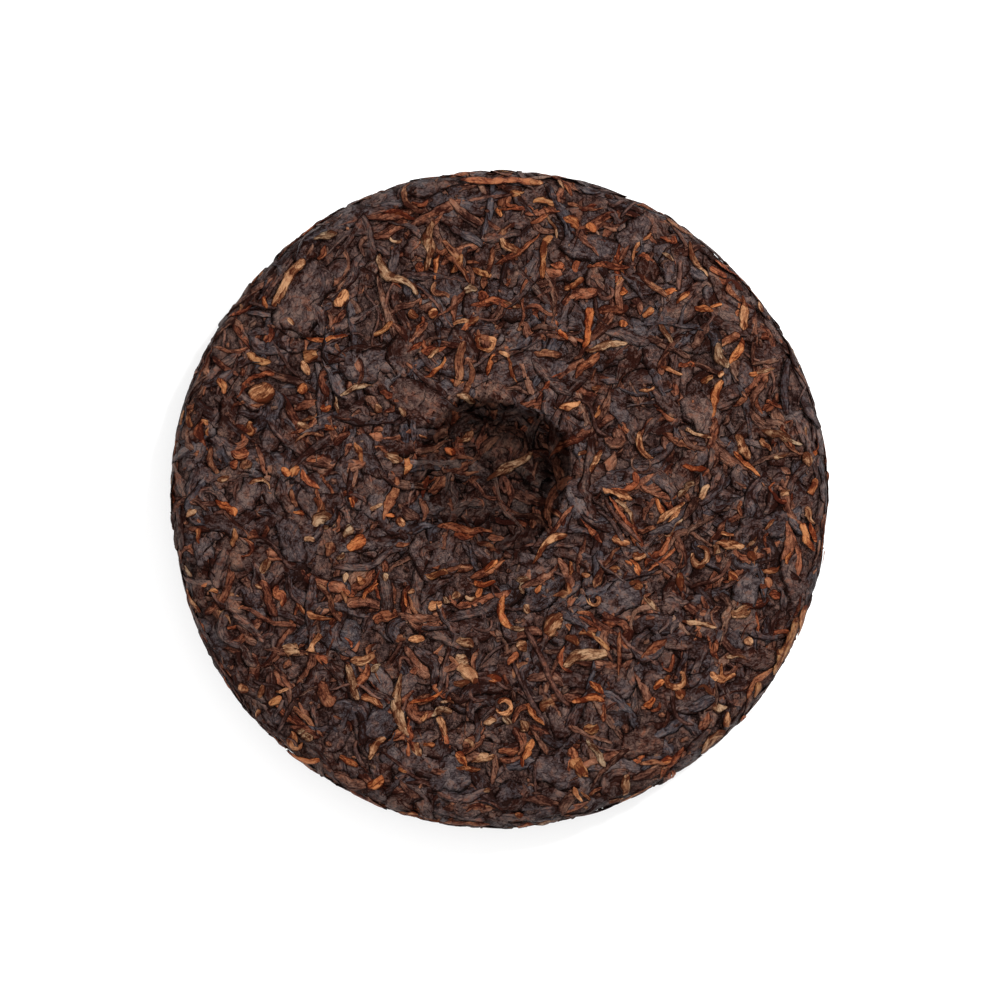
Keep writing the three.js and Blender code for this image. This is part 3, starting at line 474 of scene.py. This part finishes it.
def laid_leaves(kind):
    """Every leaf of a kind as one array per quantity: the landmarks first, then random leaves on
    the back and the front, which near the rim follow its edge."""
    counts, ranges = KINDS[kind], RANGES[kind]
    marks = np.array(LANDMARKS.get(kind, np.empty((0, 6))), dtype=float).reshape(-1, 6)
    many = counts["back"] + counts["front"]
    front = np.arange(many) >= counts["back"]
    along = SHEET_RADIUS * np.sqrt(random.random(many))
    angle = between(-math.pi, math.pi, many)
    heading = between(-180, 180, many)
    near_rim = smoothstep(along, SHOULDER_RADIUS - 8, SHOULDER_RADIUS + 4) > random.random(many)
    heading = np.where(near_rim, np.degrees(angle) + 90 + random.normal(0, 24, many), heading)
    length = between(*ranges["length"], many, 1.5)
    width = between(*ranges["width"], many, 1.3)
    curled = random.random(many) < CURLED_SHARE
    bend = random.normal(0, ranges["bend"], many) * np.where(curled, 1.4, 0.4)
    lift = between(*ranges["lift"], many)
    leaves = {
        "front": np.concatenate([np.zeros(len(marks), bool), front]),
        "x": np.concatenate([marks[:, 0], along * np.cos(angle)]),
        "y": np.concatenate([marks[:, 1], along * np.sin(angle)]),
        "heading": np.radians(np.concatenate([marks[:, 2], heading])),
        "length": np.concatenate([marks[:, 3], length]),
        "width": np.concatenate([marks[:, 4], width]),
        "bend": np.radians(np.concatenate([marks[:, 5], bend])),
        "lift": np.concatenate([between(*MARK_LIFT, len(marks)), lift]),
    }
    rim = rim_share(leaves["x"], leaves["y"])
    leaves["lift"][:len(marks)] *= 1 + 0.45 * RIM_LOOSENESS * rim[:len(marks)]
    if kind == "broad_leaves":
        leaves["lift"][:len(marks)] -= 0.15
    total = len(leaves["x"])
    calm = np.where(np.arange(total) < len(marks), MARK_CALM, 1.0)
    leaves["mark"] = calm < 1
    leaves["sway"] = random.normal(0, 0.42, total) * calm
    leaves["phase"] = random.random(total)
    leaves["slope"] = random.normal(0, 0.012, total) * calm * (1 + RIM_LOOSENESS * rim)
    leaves["wave"] = random.normal(0, 0.08, total)
    leaves["roll"] = np.radians(random.normal(0, ranges["roll"], total)) * calm
    leaves["crown"] = between(*ranges["crown"], total)
    leaves["blunt"] = between(*ranges["blunt"], total) * calm ** 0.5
    leaves["skew"] = between(0.75, 1.3, total)
    leaves["rag"] = between(0.2, 1, total) * ranges["rag"]
    leaves["crumple"] = between(0.4, 1, total) * ranges["crumple"]
    leaves["wander"] = between(0.4, 1, total) * ranges["wander"] * calm ** 0.4
    in_dimple = 1 - smoothstep(np.hypot(leaves["x"] - DIMPLE_X, leaves["y"] - DIMPLE_Y), 19, 25)
    in_dimple = in_dimple * ~leaves["front"]
    leaves["crumple"] *= 1 - 0.4 * in_dimple
    leaves["lift"] *= 1 - 0.3 * in_dimple
    bright = np.where(leaves["mark"], MARK_BRIGHTER, 0.0)
    leaves["tint"] = np.clip(random.normal(0.5, 0.12, total) * calm + 0.5 * (1 - calm) + bright, 0, 1)
    return leaves


def strayed(x, y, seed, amount):
    """Places moved by smooth noise of two sizes, which differs from leaf to leaf."""
    for size, part, shift in ((4.6, 0.7, 0.0), (1.4, 0.3, 41.0)):
        across, up = x / size + 131 * seed + shift, y / size + 57 * seed + shift
        x = x + 2 * part * amount * (lattice_noise(across, up) - 0.5)
        y = y + 2 * part * amount * (lattice_noise(across + 77, up + 33) - 0.5)
    return x, y


def leaf_sheets(leaves, tops, stations):
    """Where every leaf's points lie on the sheets, and their lift, as (leaf, station, point).

    The line turns evenly by its bend, with a slight sway, and is summed up from its steps. Its
    half width is sin(pi t^skew)^blunt with ragged sides, and all of it strays. The top is crowned
    by 1 - v^2, crumpled by noise stretched along the leaf, waved and rolled, and dips at both
    ends. One point lies below the middle."""
    inner = (np.arange(stations) + 0.5) / stations
    t = np.concatenate([[0.0], inner, [1.0]])
    column = {name: values[:, None] for name, values in leaves.items()}
    sway = column["sway"] * np.sin(2 * math.pi * (t + column["phase"]))
    heading = column["heading"] + column["bend"] * (t - 0.5) + sway
    step = np.diff(t) * column["length"]
    east = 0.5 * (np.cos(heading[:, 1:]) + np.cos(heading[:, :-1])) * step
    north = 0.5 * (np.sin(heading[:, 1:]) + np.sin(heading[:, :-1])) * step
    line_x = np.pad(np.cumsum(east, axis=1), ((0, 0), (1, 0)))
    line_y = np.pad(np.cumsum(north, axis=1), ((0, 0), (1, 0)))
    line_x += column["x"] - line_x[:, 1:-1].mean(axis=1, keepdims=True)
    line_y += column["y"] - line_y[:, 1:-1].mean(axis=1, keepdims=True)

    blade = np.sin(math.pi * np.clip(t, 0.001, 0.999) ** column["skew"]) ** column["blunt"]
    half = 0.5 * column["width"] * blade
    v = np.concatenate([np.linspace(1, -1, tops), [0.0]])
    tear = column["length"] * t / 1.9 + 97 * column["phase"]
    ragged_left = 1 + column["rag"] * (2 * lattice_noise(tear, 31 * column["phase"]) - 1)
    ragged_right = 1 + column["rag"] * (2 * lattice_noise(tear, 57 * column["phase"]) - 1)
    side = np.where(v > 0, ragged_left[..., None], ragged_right[..., None]) * v
    roll = (column["roll"] * (1 + 0.8 * np.sin(2 * math.pi * (t + column["phase"]))))[..., None]
    reach = side * half[..., None]
    x = line_x[..., None] - reach * np.cos(roll) * np.sin(heading)[..., None]
    y = line_y[..., None] + reach * np.cos(roll) * np.cos(heading)[..., None]
    x, y = strayed(x, y, column["phase"][..., None], column["wander"][..., None])

    ends = (2 * np.abs(t - 0.5)) ** 4
    base = column["lift"] + column["slope"] * (t - 0.5) * column["length"]
    base = base + column["wave"] * np.sin(2 * math.pi * (1.3 * t + column["phase"])) - 0.3 * ends
    narrow = np.minimum(blade, 1)[..., None]
    crown = (column["crown"] * np.ones_like(t))[..., None] * (1 - v ** 2) * narrow
    seed = 211 * column["phase"][..., None]
    along = (column["length"] * t)[..., None] / 3.2 + seed
    fine_folds = lattice_noise(2.3 * along, reach / 0.7)
    folds = lattice_noise(along, reach / 1.15 + seed) + 0.5 * fine_folds - 0.75
    crumples = (2 * column["crumple"] * np.ones_like(t))[..., None] * folds
    lift = base[..., None] + crown + crumples + np.sin(roll) * reach
    lift[..., -1] = base - 0.45
    rim = rim_share(x, y)
    highest = HIGHEST_LIFT * (1 + 0.25 * RIM_LOOSENESS * rim)
    lift = np.where(lift > 0, highest * np.tanh(lift / highest), lift)
    return x, y, lift, reach, t, v


def shown_share(sheets, fronts):
    """For every leaf of every kind, the share of its top points that lie at the top of the pile,
    read from the highest lift in each cell of a grid over both sheets."""
    cell = 0.9
    margin = 25
    slack = 0.06
    span = int(2 * (SHEET_RADIUS + margin) / cell)
    highest = np.full(2 * span * span, -9.0)
    places = []
    for (x, y, lift, *_), front in zip(sheets, fronts):
        across = np.clip(((x + SHEET_RADIUS + margin) / cell).astype(int), 0, span - 1)
        up = np.clip(((y + SHEET_RADIUS + margin) / cell).astype(int), 0, span - 1)
        place = front[:, None, None] * span * span + up * span + across
        place, lift = place[:, 1:-1, :-1], lift[:, 1:-1, :-1]
        np.maximum.at(highest, place.ravel(), lift.ravel())
        places.append((place, lift))
    return [(lift >= highest[place] - slack).mean(axis=(1, 2)) for place, lift in places]


def ring_faces(around, rings):
    """Faces over rings of points that follow one another, with a point before the first and one
    after the last: quads between neighbouring rings and a fan of triangles to each end."""
    side = np.arange(around)
    following = (side + 1) % around
    first = 1 + around * np.arange(rings - 1)[:, None]
    beyond = first + around
    quads = np.stack([first + side, beyond + side, beyond + following, first + following], -1)
    last = 1 + around * (rings - 1)
    near = np.stack([np.zeros(around, int), 1 + side, 1 + following], -1)
    far = np.stack([last + side, np.full(around, last + around), last + following], -1)
    return quads.reshape(-1, 4), np.vstack([near, far])


def leaf_faces(count, ring, stations, flip):
    """Faces of all leaves as corner indices. Leaves whose flip is set are wound the other way."""
    size = ring * stations + 2

    def placed(template):
        turned = np.where(flip[:, None, None], template[None, :, ::-1], template[None])
        return (turned + size * np.arange(count)[:, None, None]).reshape(-1, template.shape[1])

    return [placed(template) for template in ring_faces(ring, stations)]


def add_piece(name, points, face_sets, attributes):
    """A mesh object from a point array in metres and face arrays, with smooth faces and one value
    or vector for each point in every attribute."""
    mesh = bpy.data.meshes.new(name)
    corners = np.concatenate([faces.ravel() for faces in face_sets]).astype(np.int32)
    sizes = np.concatenate([np.full(len(faces), faces.shape[1]) for faces in face_sets])
    starts = np.concatenate([[0], np.cumsum(sizes)[:-1]]).astype(np.int32)
    mesh.vertices.add(len(points))
    mesh.vertices.foreach_set("co", points.astype(np.float32).ravel())
    mesh.loops.add(len(corners))
    mesh.loops.foreach_set("vertex_index", corners)
    mesh.polygons.add(len(starts))
    mesh.polygons.foreach_set("loop_start", starts)
    mesh.polygons.foreach_set("use_smooth", np.ones(len(starts), dtype=bool))
    for label, values in attributes.items():
        kind, field = ("FLOAT_VECTOR", "vector") if values.ndim == 2 else ("FLOAT", "value")
        layer = mesh.attributes.new(label, kind, "POINT")
        layer.data.foreach_set(field, values.astype(np.float32).ravel())
    mesh.update(calc_edges=True)
    piece = bpy.data.objects.new(name, mesh)
    bpy.context.scene.collection.objects.link(piece)
    return piece


def leaf_piece(kind, leaves, sheet, middle):
    """All leaves of a kind as one mesh. Its points carry the leaf's tint, the place along and
    across the leaf in millimetres with a number of its own, how near they are to an edge, and
    their reach in the dimple and their share of its painted shade."""
    x, y, lift, reach, t, v = sheet
    count, rings, ring = x.shape
    front = np.broadcast_to(leaves["front"][:, None, None], x.shape)

    def per_point(values):
        ends = values[:, [0, -1], (ring - 1) // 2]
        flat = values[:, 1:-1].reshape(count, -1, *values.shape[3:])
        joined = np.concatenate([ends[:, :1], flat, ends[:, 1:]], axis=1)
        return joined.reshape(-1, *values.shape[3:])

    points = per_point((lifted(front, x, y, lift) - middle) * MM)
    grain = np.empty((count, rings, ring, 3))
    grain[..., 0] = RANGES[kind]["grain"] * (t * leaves["length"][:, None])[..., None]
    grain[..., 1] = reach
    grain[..., 2] = 60 * leaves["phase"][:, None, None]
    near_side = np.abs(v)[None, :]
    near_tip = (2 * np.abs(t - 0.5))[:, None] ** 3
    edge = np.broadcast_to(np.maximum(near_side, near_tip), x.shape)
    # Share of painted shade in the dimple, less on landmarks.
    painted_shade = dimple_painted_shade(front, x, y) * np.where(leaves["mark"], MARK_PAINTED_SHADE, 1.0)[:, None, None]
    attributes = {
        "leaf_tint": np.repeat(leaves["tint"], len(points) // count),
        "dimple_reach": per_point(shown_reach(front, x, y)),
        "dimple_painted_shade": per_point(painted_shade),
        "leaf_grain": per_point(grain),
        "leaf_edge": per_point(edge),
    }
    return add_piece(kind, points, leaf_faces(count, ring, rings - 2, ~leaves["front"]), attributes)


def bed_piece(around=360, back_rings=150, front_rings=110):
    """The bed under the leaves: rings that slide from the dimple's middle to the cake's own, out
    to the rim, and back in over the front, with lumps of lattice noise. Its points carry what
    those of the leaves do. With it comes the middle of its box, which every piece is moved by."""
    angles = 2 * math.pi * np.arange(around) / around
    out = np.arange(1, back_rings + 1) / back_rings
    back = np.ones(back_rings, bool)
    inwards = 1 - np.arange(1, front_rings) / front_rings
    steps = np.concatenate([out, inwards])[:, None]
    front = np.concatenate([~back, np.ones(front_rings - 1, bool)])[:, None]
    slide = np.where(front, 0.0, 1 - steps)
    squared = (dimple_spread(angles) - 1) * (1 - smoothstep(steps, 0.25, 0.6))
    shape = np.where(front, 1.0, 1 + squared)
    x = DIMPLE_X * slide + SHEET_RADIUS * steps * shape * np.cos(angles)
    y = DIMPLE_Y * slide + SHEET_RADIUS * steps * shape * np.sin(angles)
    front = np.broadcast_to(front, x.shape)
    rim = smoothstep(SHEET_RADIUS - np.hypot(x, y), 0, 6)
    lumps = lattice_noise(x / 2.4 + 90, y / 2.4 + 90) - 0.5
    crumbs = lattice_noise(x / 1.1 + 40, y / 1.1 + 70) - 0.5
    lift = BED_LIFT + BED_RELIEF * rim * (lumps + 0.5 * crumbs)
    ends = [
        lifted(np.array(at_front), np.array(end_x), np.array(end_y), np.array(BED_LIFT))[None]
        for at_front, end_x, end_y in ((False, DIMPLE_X, DIMPLE_Y), (True, 0.0, 0.0))
    ]
    rings = lifted(front, x, y, lift).reshape(-1, 3)
    middle = 0.5 * (rings.min(axis=0) + rings.max(axis=0)) * (1, 1, 0)
    points = (np.vstack([ends[0], rings, ends[1]]) - middle) * MM

    x = np.concatenate([[DIMPLE_X], x.ravel(), [0.0]])
    y = np.concatenate([[DIMPLE_Y], y.ravel(), [0.0]])
    front = np.concatenate([[False], front.ravel(), [True]])
    attributes = {
        "leaf_tint": 0.35 + 0.3 * lattice_noise(x / 3 + 20, y / 3 + 20),
        "leaf_grain": np.stack([BED_GRAIN * x, y, np.where(front, *BED_NUMBERS)], -1),
        "leaf_edge": np.zeros(len(points)),
        "dimple_reach": shown_reach(front, x, y),
        "dimple_painted_shade": dimple_painted_shade(front, x, y),
    }
    return add_piece("leaf_bed", points, ring_faces(around, len(steps)), attributes), middle


def new_group(name, source, results):
    """An empty shader node group with one vector input and its number outputs, and its two end
    nodes."""
    group = bpy.data.node_groups.new(name, "ShaderNodeTree")
    group.interface.new_socket(source, in_out="INPUT", socket_type="NodeSocketVector")
    for label in results:
        group.interface.new_socket(label, in_out="OUTPUT", socket_type="NodeSocketFloat")
    return group, group.nodes.new("NodeGroupInput"), group.nodes.new("NodeGroupOutput")


def link_results(group, out, results):
    for label, value in results.items():
        group.links.new(value, out.inputs[label])
    return group


def add_node(tree, kind, settings=None, inputs=None):
    """A node with its settings, and its inputs either linked or set."""
    node = tree.nodes.new(kind)
    for name, value in (settings or {}).items():
        setattr(node, name, value)
    for name, value in (inputs or {}).items():
        if isinstance(value, bpy.types.NodeSocket):
            tree.links.new(value, node.inputs[name])
        else:
            node.inputs[name].default_value = value
    return node


def maths(tree, operation, *values, clamp=False):
    """What a maths node makes of its values, which are numbers or sockets."""
    settings = {"operation": operation, "use_clamp": clamp}
    return add_node(tree, "ShaderNodeMath", settings, dict(enumerate(values))).outputs[0]


def scaled(tree, value, gain):
    return maths(tree, "MULTIPLY", value, gain)


def eased(tree, value, low, high, at_low=0.0, at_high=1.0):
    """A smoothstep from at_low, up to the low value, to at_high, from the high value on."""
    inputs = {"Value": value, "From Min": low, "From Max": high, "To Min": at_low, "To Max": at_high}
    settings = {"interpolation_type": "SMOOTHSTEP"}
    return add_node(tree, "ShaderNodeMapRange", settings, inputs).outputs[0]


def noise(tree, place, scale=1.0, **inputs):
    inputs = {"Vector": place, "Scale": scale, **inputs}
    return add_node(tree, "ShaderNodeTexNoise", {"noise_dimensions": "3D"}, inputs).outputs[0]


def mixed(tree, share, first, second, blend="MIX"):
    """The first colour turned into the second by a share, or multiplied by it."""
    inputs = {"Fac": share, "Color1": first, "Color2": second}
    return add_node(tree, "ShaderNodeMixRGB", {"blend_type": blend}, inputs).outputs["Color"]


def leaf_grain_group():
    """Streaks that run along a leaf, and flakes: where two noises on the leaf's own millimetres
    pass their middle value, a thin crease runs, darkened in the finish by painted shade, and the
    tint changes. All are stretched lengthwise, and the leaf's surface stands up between the creases."""
    group, ends, out = new_group(
        "leaf_grain_pattern", "Grain", ("Streaks", "Creases", "Height", "Flakes"))

    def stretched(factors, **inputs):
        place = add_node(group, "ShaderNodeVectorMath", {"operation": "MULTIPLY"},
                         {0: ends.outputs["Grain"], 1: factors}).outputs[0]
        return noise(group, place, **inputs)

    def crease(value, width):
        off_middle = maths(group, "ABSOLUTE", maths(group, "SUBTRACT", value, 0.5))
        return maths(group, "SUBTRACT", 1.0, eased(group, off_middle, 0.0, width))

    streak = stretched((0.2, 1.3, 1.0), Detail=3.0, Roughness=0.65, Distortion=0.3)
    crumple = stretched((0.35, 0.9, 1.3), Detail=4.0, Roughness=0.65, Distortion=0.3)
    large = stretched((0.11, 0.30, 1.7), Detail=2.5, Roughness=0.5, Distortion=0.6)
    small = stretched((0.20, 0.60, 2.3), Detail=2.5, Roughness=0.55, Distortion=0.5)
    small_creases = scaled(group, crease(small, 0.04), 0.8)
    creases = maths(group, "MAXIMUM", crease(large, 0.035), small_creases)
    relief = maths(group, "ADD", scaled(group, streak, 0.7), scaled(group, crumple, 0.9))
    return link_results(group, out, {
        "Streaks": streak,
        "Creases": creases,
        "Height": maths(group, "SUBTRACT", relief, scaled(group, creases, 0.3)),
        "Flakes": maths(group, "ADD", scaled(group, eased(group, large, 0.45, 0.55), 0.55),
                        scaled(group, eased(group, small, 0.45, 0.55), 0.45)),
    })


def tea_dust_group():
    """Mottling, grit, slow drifts of shade and rusty patches that ignore the leaves' edges: noise
    on the cake itself."""
    group, ends, out = new_group("tea_dust_pattern", "Place", ("Mottle", "Rust", "Grit", "Drift"))
    place = ends.outputs["Place"]
    patches = noise(group, place, 410.0, Detail=4.0, Roughness=0.7, Distortion=0.6)
    return link_results(group, out, {
        "Mottle": noise(group, place, 300.0, Detail=4.0, Roughness=0.6),
        "Rust": maths(group, "MULTIPLY", maths(group, "SUBTRACT", patches, 0.49), 6.0, clamp=True),
        "Grit": noise(group, place, 1500.0, Detail=3.0, Roughness=0.7),
        "Drift": noise(group, place, 95.0, Detail=2.0, Roughness=0.5),
    })


GRAIN_PATTERN = leaf_grain_group()
DUST_PATTERN = tea_dust_group()


def leaf_material(kind):
    """A leaf's finish: its tint, streaks and mottling choose a colour from deep to light, which
    is darkened at its edges and creases by painted shade, with rust on what is light. Each leaf is a
    little cooler or warmer than its kind, and all carry painted shade in the dimple and on its lip."""
    finish = FINISHES[kind]
    material = bpy.data.materials.new(kind + "_finish")
    material.use_nodes = True
    tree = material.node_tree
    shader = tree.nodes["Principled BSDF"]

    def carried(label, output="Fac"):
        return add_node(tree, "ShaderNodeAttribute", {"attribute_name": label}).outputs[output]

    grain = carried("leaf_grain", "Vector")
    reach = carried("dimple_reach")
    place = add_node(tree, "ShaderNodeTexCoord").outputs["Object"]
    pattern = add_node(tree, "ShaderNodeGroup", {"node_tree": GRAIN_PATTERN}, {"Grain": grain}).outputs
    dust = add_node(tree, "ShaderNodeGroup", {"node_tree": DUST_PATTERN}, {"Place": place}).outputs

    shade = carried("leaf_tint")
    for value, gain in (
        (pattern["Streaks"], STREAK_GAIN * finish["streaks"]),
        *((dust[label], gain) for label, gain in DUST_GAINS.items()),
        (pattern["Flakes"], finish["flakes"]),
    ):
        shade = maths(tree, "ADD", shade, scaled(tree, maths(tree, "SUBTRACT", value, 0.5), gain))
    # Painted shade: a leaf's edges and creases are darkened, standing in for the shade between pressed
    # leaves and in folds.
    edge = maths(tree, "POWER", carried("leaf_edge"), 5.0)
    shade = maths(tree, "SUBTRACT", shade, scaled(tree, edge, PAINTED_EDGE_SHADE))
    creases = scaled(tree, pattern["Creases"], PAINTED_CREASE_SHADE)
    shade = maths(tree, "SUBTRACT", shade, creases, clamp=True)
    ramp = add_node(tree, "ShaderNodeValToRGB", None, {"Fac": shade})
    stops = ramp.color_ramp.elements
    stops[0].position, stops[0].color = 0.05, (*finish["deep"], 1)
    stops[1].position, stops[1].color = 1.0, (*finish["light"], 1)
    middle_stop = stops.new(0.5)
    middle_stop.color = (*finish["body"], 1)

    rusty = scaled(tree, maths(tree, "MULTIPLY", dust["Rust"], shade), MOST_RUST)
    colour = mixed(tree, rusty, ramp.outputs["Color"], (*finish["rust"], 1))
    own_number = add_node(tree, "ShaderNodeSeparateXYZ", None, {0: grain}).outputs["Z"]
    warmth = maths(tree, "FRACT", scaled(tree, own_number, 0.37))
    tone = mixed(tree, warmth, (*COOL_TONE, 1), (*WARM_TONE, 1))
    colour = mixed(tree, 1.0, colour, tone, "MULTIPLY")
    # Painted shade: leaf inside the dimple is multiplied darker, most towards the upper right.
    inside = eased(tree, reach, 0.93, 1.0, 1.0, 0.0)
    painted_shade = maths(tree, "MULTIPLY", inside, carried("dimple_painted_shade"))
    colour = mixed(tree, painted_shade, colour, (*PAINTED_DIMPLE_SHADE, 1), "MULTIPLY")
    # Painted shade: a dark line along the dimple's lip.
    lip_distance = maths(tree, "ABSOLUTE", maths(tree, "SUBTRACT", reach, LIP_REACH))
    painted_lip_share = eased(tree, lip_distance, 0.0, 0.045, 0.55, 0.0)
    colour = mixed(tree, painted_lip_share, colour, (*PAINTED_LIP_SHADE, 1), "MULTIPLY")
    tree.links.new(colour, shader.inputs["Base Color"])

    dull = maths(tree, "MULTIPLY_ADD", dust["Mottle"], 0.35, finish["roughness"] - 0.17)
    tree.links.new(dull, shader.inputs["Roughness"])
    bump = add_node(tree, "ShaderNodeBump", None,
                    {"Height": pattern["Height"], "Strength": finish["bump"], "Distance": 0.0009})
    tree.links.new(bump.outputs["Normal"], shader.inputs["Normal"])
    gloss = maths(tree, "ADD", scaled(tree, shade, EXTRA_GLOSS), FOLD_GLOSS)
    tree.links.new(gloss, shader.inputs["Specular IOR Level"])
    return material


def finish_piece(piece, kind):
    piece.data.materials.append(leaf_material(kind))
    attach(piece, "root")


def build_cake():
    """The bed and every kind of leaf, without the leaves that lie hidden in the pile."""
    bed, middle = bed_piece()
    finish_piece(bed, "leaf_bed")
    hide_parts(CAKE_NODE)
    laid = {kind: laid_leaves(kind) for kind in KINDS}
    sheets = {
        kind: leaf_sheets(laid[kind], counts["tops"], counts["stations"])
        for kind, counts in KINDS.items()
    }
    shares = shown_share(sheets.values(), [leaves["front"] for leaves in laid.values()])
    for kind, share in zip(KINDS, shares):
        kept = (share > LEAST_SHOWN) | laid[kind]["mark"]
        leaves = {name: values[kept] for name, values in laid[kind].items()}
        *parts, t, v = sheets[kind]
        piece = leaf_piece(kind, leaves, (*(part[kept] for part in parts), t, v), middle)
        finish_piece(piece, kind)


def plain_material(name, colour, roughness):
    """A finish of one colour."""
    material = bpy.data.materials.new(name)
    material.use_nodes = True
    shader = material.node_tree.nodes["Principled BSDF"]
    shader.inputs["Base Color"].default_value = (*colour, 1)
    shader.inputs["Roughness"].default_value = roughness
    return material


def add_floor():
    """A plain pale floor, far larger than the view."""
    half = 2.0
    points = np.array([(-half, -half, 0), (half, -half, 0), (half, half, 0), (-half, half, 0)])
    floor = add_piece("floor", points, [np.array([[0, 1, 2, 3]])], {})
    finish = plain_material("pale_floor", (0.6, 0.6, 0.6), 0.9)
    shader = finish.node_tree.nodes["Principled BSDF"]
    shader.inputs["Emission Color"].default_value = (1, 1, 1, 1)
    shader.inputs["Emission Strength"].default_value = 0.4
    floor.data.materials.append(finish)


def add_area_light(name, place, size, power):
    """A round soft light that points at the cake."""
    data = bpy.data.lights.new(name, "AREA")
    data.shape = "DISK"
    data.size = size
    data.energy = power
    light = bpy.data.objects.new(name, data)
    bpy.context.scene.collection.objects.link(light)
    light.location = place
    light.rotation_euler = (-Vector(place)).to_track_quat("-Z", "Y").to_euler()


def add_studio():
    """Soft daylight from all round, with one broad light at the upper right of the view."""
    world = bpy.data.worlds.new("studio")
    bpy.context.scene.world = world
    world.use_nodes = True
    background = world.node_tree.nodes["Background"]
    background.inputs["Color"].default_value = (1.0, 1.0, 1.0, 1)
    background.inputs["Strength"].default_value = 0.85
    add_area_light("key_light", place=(0.74, 0.74, 1.1), size=0.4, power=38.0)
    add_area_light("fill_light", place=(-0.8, -0.7, 0.9), size=0.8, power=9.0)
    bpy.context.scene.view_settings.view_transform = "Standard"


def add_camera():
    """Straight above the cake, which fills most of the frame."""
    height = 1.5
    aside = 0.15 * MM
    cake_width = 195.8
    cake_pixels = 656
    frame_pixels = 1000
    frame_width = cake_width * MM * frame_pixels / cake_pixels
    middle_level = NOSE_HEIGHT * MM
    data = bpy.data.cameras.new("camera")
    data.sensor_width = 36
    data.lens = data.sensor_width * (height - middle_level) / frame_width
    camera = bpy.data.objects.new("camera", data)
    bpy.context.scene.collection.objects.link(camera)
    camera.location = (aside, 0.0, height)
    bpy.context.scene.camera = camera


build_cake()
add_floor()
add_studio()
add_camera()

bpy.context.view_layer.update()
